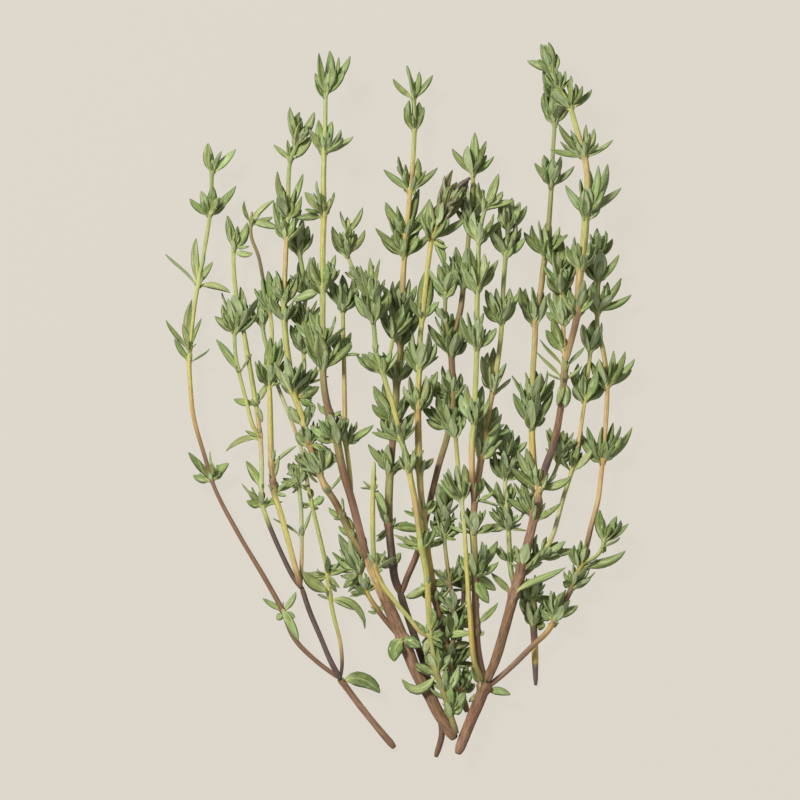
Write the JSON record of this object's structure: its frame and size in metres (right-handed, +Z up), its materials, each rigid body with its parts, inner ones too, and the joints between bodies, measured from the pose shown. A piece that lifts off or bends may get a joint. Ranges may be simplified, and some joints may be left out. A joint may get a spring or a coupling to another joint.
{
  "type": "thyme bundle",
  "caption": "Loose bunch of fresh cut thyme lying flat: branching woody sprigs with whorls of small pointed green leaves.",
  "frame": {"origin": "centre of the bunch's footprint, on the surface it lies on", "axes": "+X across the bunch, +Y from the cut ends to the leafy tips, +Z up from the surface"},
  "size_m": [0.1174, 0.179, 0.0183],
  "materials": {
    "bark": "matte",
    "dark_stem": "matte",
    "young_stem": "matte",
    "leaf": "matte"
  },
  "bodies": {
    "root": {"dark_base": "dark_stem", "centre_tall_shoot": "leaf", "centre_right_shoot": "leaf", "centre_bud_shoot": "leaf", "middle_shoot": "leaf", "middle_low_shoot": "leaf", "middle_dark_shoot": "leaf", "left_base": "bark", "left_tall_shoot": "leaf", "left_outer_shoot": "leaf", "left_inner_shoot": "leaf", "left_side_shoot": "leaf", "left_low_shoot": "leaf", "light_shoot": "leaf", "light_left_shoot": "young_stem", "light_fork_shoot": "leaf", "light_tip_shoot": "leaf", "right_base": "bark", "right_stem": "bark", "right_inner_shoot": "leaf", "right_front_shoot": "leaf", "right_yellow_shoot": "leaf", "right_green_shoot": "leaf", "right_slim_shoot": "leaf", "right_small_shoot": "leaf", "right_back_shoot": "leaf", "right_peach_shoot": "leaf", "right_tall_shoot": "leaf", "right_outer_shoot": "leaf", "right_outer_side_shoot": "leaf", "short_shoot": "leaf", "outer_base": "bark", "outer_long_shoot": "leaf", "outer_green_shoot": "leaf", "outer_dark_stem": "dark_stem", "outer_middle_shoot": "leaf", "outer_yellow_shoot": "leaf", "outer_small_shoot": "leaf", "outer_thin_shoot": "leaf"}
  },
  "joints": []
}
